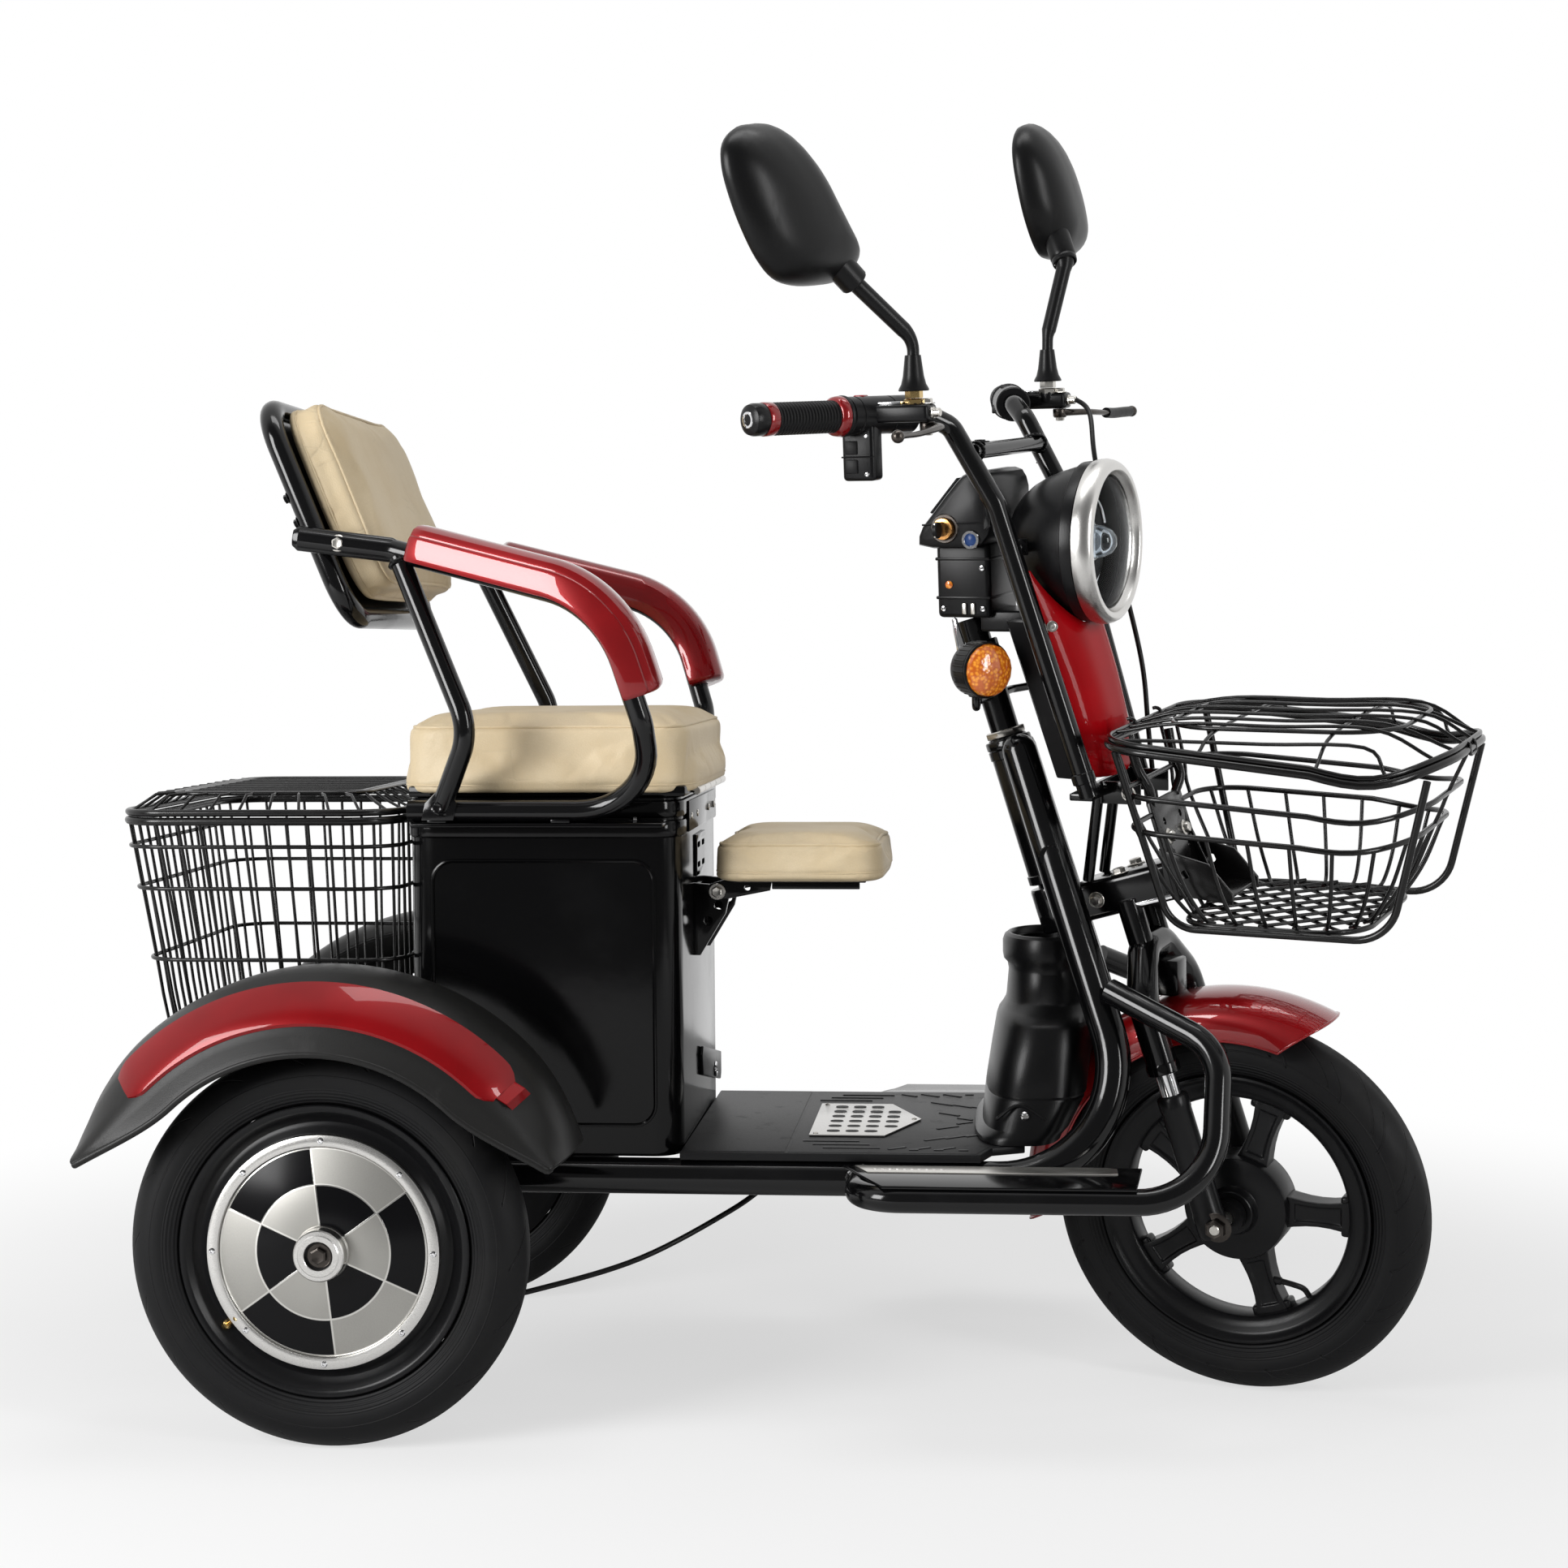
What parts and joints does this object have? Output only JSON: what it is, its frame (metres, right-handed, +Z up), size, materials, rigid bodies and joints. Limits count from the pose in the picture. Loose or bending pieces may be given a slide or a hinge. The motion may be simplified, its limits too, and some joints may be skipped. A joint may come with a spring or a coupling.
{
  "type": "electric passenger tricycle",
  "caption": "Low-floor electric tricycle with hub-motor rear wheels, sprung fork, padded seat with armrests, folding child seat and lidded wire baskets.",
  "frame": {"origin": "on the ground under the middle of the bounding box", "axes": "+X forward, +Y to the rider's left, +Z up"},
  "size_m": [1.4369, 0.752, 1.4174],
  "materials": {
    "battery": "matte",
    "box_black": "gloss",
    "chrome": "polished",
    "frame_black": "gloss",
    "leather": "satin",
    "lens": "clear",
    "paint_red": "gloss",
    "plastic_black": "matte",
    "plastic_grey": "matte",
    "rubber": "matte",
    "silver": "satin",
    "tyre": "matte",
    "wire_black": "satin"
  },
  "bodies": {
    "frame": {"frame": "frame_black", "front_guard_right": "frame_black", "front_guard_left": "frame_black", "floor_board": "rubber", "tread_plate": "silver", "storage_bucket": "plastic_black", "seat_box": "box_black", "battery_pack": "battery", "armrest_frame_right": "frame_black", "armrest_frame_left": "frame_black", "armrest_pad_right": "paint_red", "armrest_pad_left": "paint_red", "backrest_frame": "frame_black", "backrest_cushion": "leather", "rear_basket": "wire_black", "rear_mudguard_left": "plastic_grey", "rear_mudguard_right": "plastic_grey", "mudguard_band_left": "paint_red", "mudguard_band_right": "paint_red", "rear_brake_cable": "rubber"},
    "rear_wheel_right": {"rear_tyre_right": "tyre", "hub_motor_right": "plastic_black", "motor_cover_right": "silver"},
    "rear_wheel_left": {"rear_tyre_left": "tyre", "hub_motor_left": "plastic_black", "motor_cover_left": "silver"},
    "steering": {"steering_column": "frame_black", "handlebar": "frame_black", "left_grip": "rubber", "control_housing_right": "plastic_black", "control_housing_left": "plastic_black", "headlight_bowl": "plastic_black", "headlight_bezel": "silver", "headlight_lens": "lens", "leg_shield": "paint_red", "dash_housing": "plastic_black", "turn_lamp_right": "plastic_black", "turn_lamp_left": "plastic_black", "front_basket": "wire_black", "fork_crown": "frame_black", "front_mudguard": "paint_red", "front_brake_cable": "rubber"},
    "fork_sliders": {"fork_lower": "plastic_black"},
    "front_wheel": {"front_tyre": "tyre", "front_wheel": "plastic_black"},
    "throttle": {"throttle_grip": "rubber"},
    "brake_lever_right": {"brake_lever_right": "silver"},
    "brake_lever_left": {"brake_lever_left": "silver"},
    "mirror_right": {"mirror_right": "plastic_black"},
    "mirror_left": {"mirror_left": "plastic_black"},
    "stem_lever": {"stem_lever": "chrome"},
    "ignition_key": {"ignition_key": "silver"},
    "front_basket_lid": {"front_basket_lid": "wire_black"},
    "rear_basket_lid": {"rear_basket_lid": "wire_black"},
    "seat": {"seat_pan": "plastic_black", "seat_cushion": "leather"},
    "child_seat": {"child_seat_bracket": "frame_black", "child_seat_cushion": "leather"}
  },
  "joints": [
    {"name": "steering_turn", "type": "hinge", "parent": "frame", "child": "steering", "pos_m": [0.2268, 0, 0.704], "axis": [-0.2924, 0, 0.9563], "range_deg": [-6.5, 51.5]},
    {"name": "rear_wheel_right_spin", "type": "hinge", "parent": "frame", "child": "rear_wheel_right", "pos_m": [-0.4632, -0.295, 0.205], "axis": [0, 1, 0], "continuous": true},
    {"name": "rear_wheel_left_spin", "type": "hinge", "parent": "frame", "child": "rear_wheel_left", "pos_m": [-0.4632, 0.295, 0.205], "axis": [0, 1, 0], "continuous": true},
    {"name": "front_suspension", "type": "slide", "parent": "steering", "child": "fork_sliders", "axis": [-0.2924, 0, 0.9563], "range_m": [0, 0.024], "stiffness_N_per_m": 24000, "springref_m": -0.035},
    {"name": "front_wheel_spin", "type": "hinge", "parent": "fork_sliders", "child": "front_wheel", "pos_m": [0.47607, -0.03827, 0.20467], "axis": [0.366, 0.9239, 0.1119], "continuous": true},
    {"name": "throttle_twist", "type": "hinge", "parent": "steering", "child": "throttle", "pos_m": [0.06136, -0.22033, 1.04453], "axis": [-0.7242, -0.6851, -0.0788], "range_deg": [0, 65], "stiffness_Nm_per_rad": 0.3, "springref_deg": -22.92},
    {"name": "brake_right_pull", "type": "hinge", "parent": "steering", "child": "brake_lever_right", "pos_m": [0.14593, -0.2141, 1.0382], "axis": [0.0213, 0.1119, -0.9935], "range_deg": [0, 22], "stiffness_Nm_per_rad": 1.5, "springref_deg": -17.19},
    {"name": "brake_left_pull", "type": "hinge", "parent": "steering", "child": "brake_lever_left", "pos_m": [0.285, 0.13698, 1.08072], "axis": [-0.0213, -0.1119, 0.9935], "range_deg": [0, 22], "stiffness_Nm_per_rad": 1.5, "springref_deg": -17.19},
    {"name": "mirror_right_swivel", "type": "hinge", "parent": "steering", "child": "mirror_right", "pos_m": [0.13242, -0.21156, 1.06145], "axis": [-0.0213, -0.1119, 0.9935], "range_deg": [-35, 35]},
    {"name": "mirror_left_swivel", "type": "hinge", "parent": "steering", "child": "mirror_left", "pos_m": [0.27148, 0.13952, 1.10396], "axis": [-0.0213, -0.1119, 0.9935], "range_deg": [-35, 35]},
    {"name": "stem_lever_open", "type": "hinge", "parent": "steering", "child": "stem_lever", "pos_m": [0.18696, 0.00459, 0.79639], "axis": [-0.366, -0.9239, -0.1119], "range_deg": [0, 95]},
    {"name": "ignition_turn", "type": "hinge", "parent": "steering", "child": "ignition_key", "pos_m": [0.18075, -0.01075, 0.94337], "axis": [0.366, 0.9239, 0.1119], "range_deg": [0, 90]},
    {"name": "front_basket_lid_open", "type": "hinge", "parent": "steering", "child": "front_basket_lid", "pos_m": [0.37008, -0.06014, 0.73198], "axis": [-0.366, -0.9239, -0.1119], "range_deg": [0, 80]},
    {"name": "rear_basket_lid_open", "type": "hinge", "parent": "frame", "child": "rear_basket_lid", "pos_m": [-0.416, 0, 0.6409], "axis": [0, 1, 0], "range_deg": [0, 50]},
    {"name": "seat_open", "type": "hinge", "parent": "frame", "child": "seat", "pos_m": [-0.1052, 0, 0.6593], "axis": [0, 1, 0], "range_deg": [0, 70]},
    {"name": "child_seat_fold", "type": "hinge", "parent": "frame", "child": "child_seat", "pos_m": [-0.0912, 0, 0.545], "axis": [0, 1, 0], "range_deg": [0, 88]}
  ]
}
